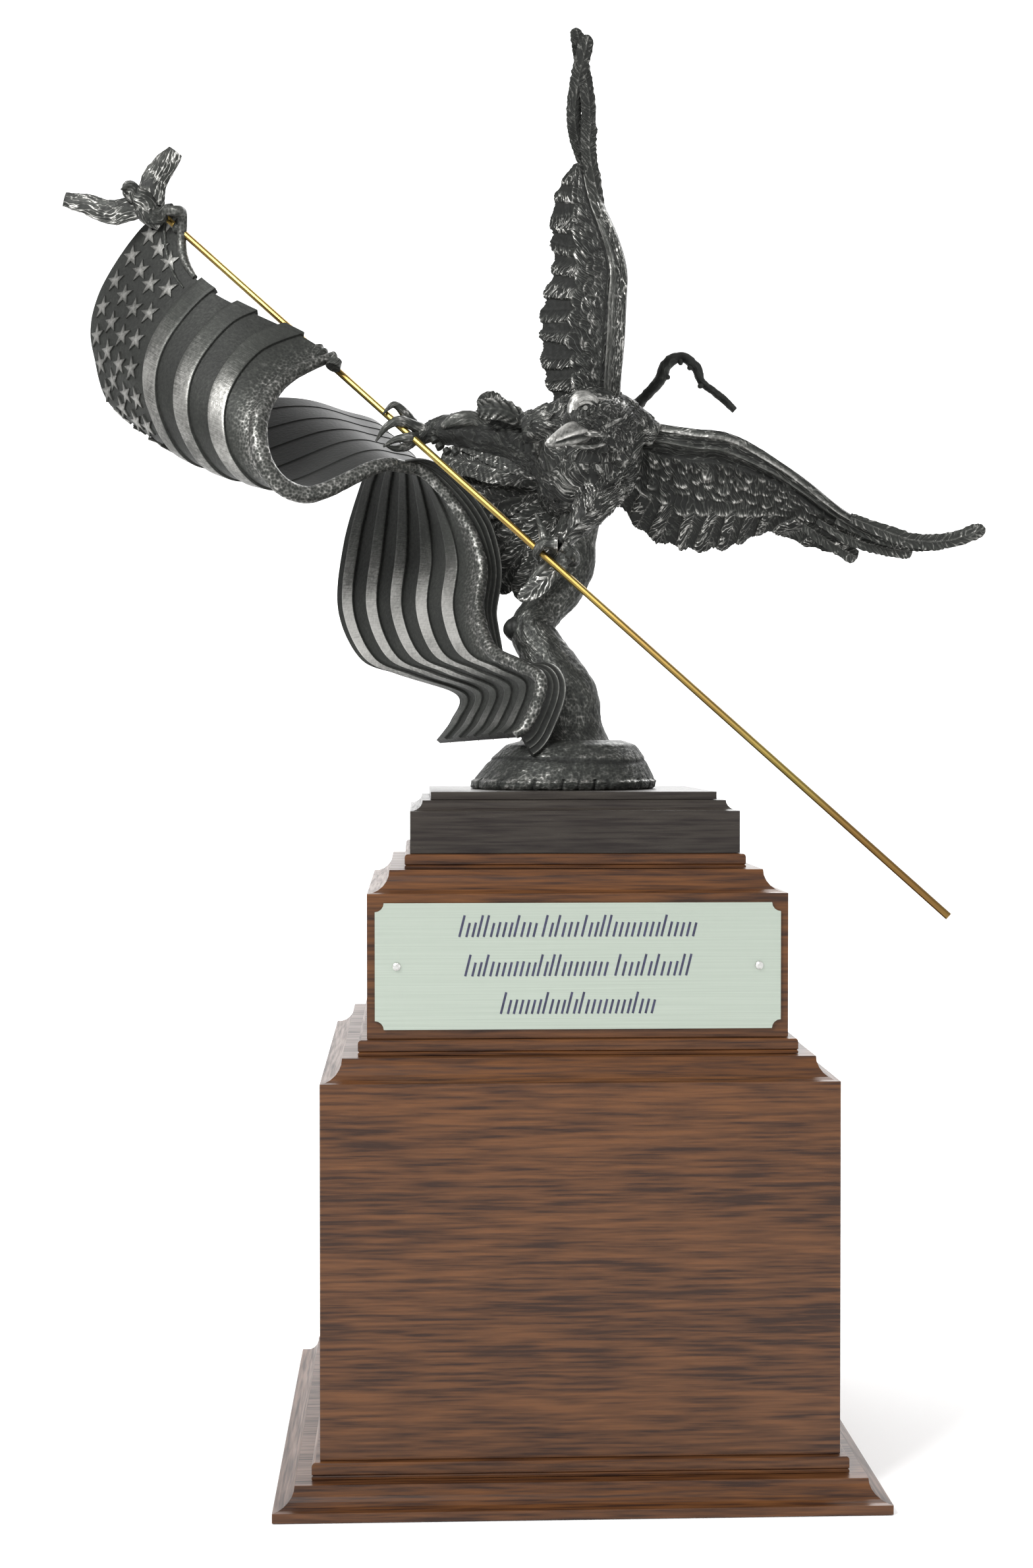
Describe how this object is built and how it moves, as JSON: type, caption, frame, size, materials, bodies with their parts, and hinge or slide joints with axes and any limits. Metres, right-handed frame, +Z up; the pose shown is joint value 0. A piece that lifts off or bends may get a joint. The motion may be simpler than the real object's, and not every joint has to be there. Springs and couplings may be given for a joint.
{
  "type": "eagle trophy",
  "caption": "Cast swooping eagle gripping a draped flag on a pole, held up by a leaning trunk on a stepped square wooden plinth with a nameplate.",
  "frame": {"origin": "middle of the plinth's underside", "axes": "+Z up, -Y towards the nameplate and the viewer, +X to the viewer's right"},
  "size_m": [0.5221, 0.305, 0.7741],
  "materials": {
    "walnut": "satin varnish",
    "dark_walnut": "dark satin varnish",
    "nameplate": "brushed",
    "screw": "plain",
    "pewter": "antiqued pewter over cast resin, dark in the recesses and rubbed bright on the edges",
    "brass": "polished"
  },
  "bodies": {
    "root": {"base_board": "walnut", "base_fillet": "walnut", "lower_box": "walnut", "middle_fillet": "walnut", "upper_box": "walnut", "top_fillet": "walnut", "top_block": "dark_walnut", "top_board": "dark_walnut", "nameplate": "nameplate", "nameplate_screw_left": "screw", "nameplate_screw_right": "screw", "mound_column_and_branch": "pewter", "eagle": "pewter", "flag": "pewter", "flagpole": "brass", "finial_eagle": "pewter"}
  },
  "joints": []
}
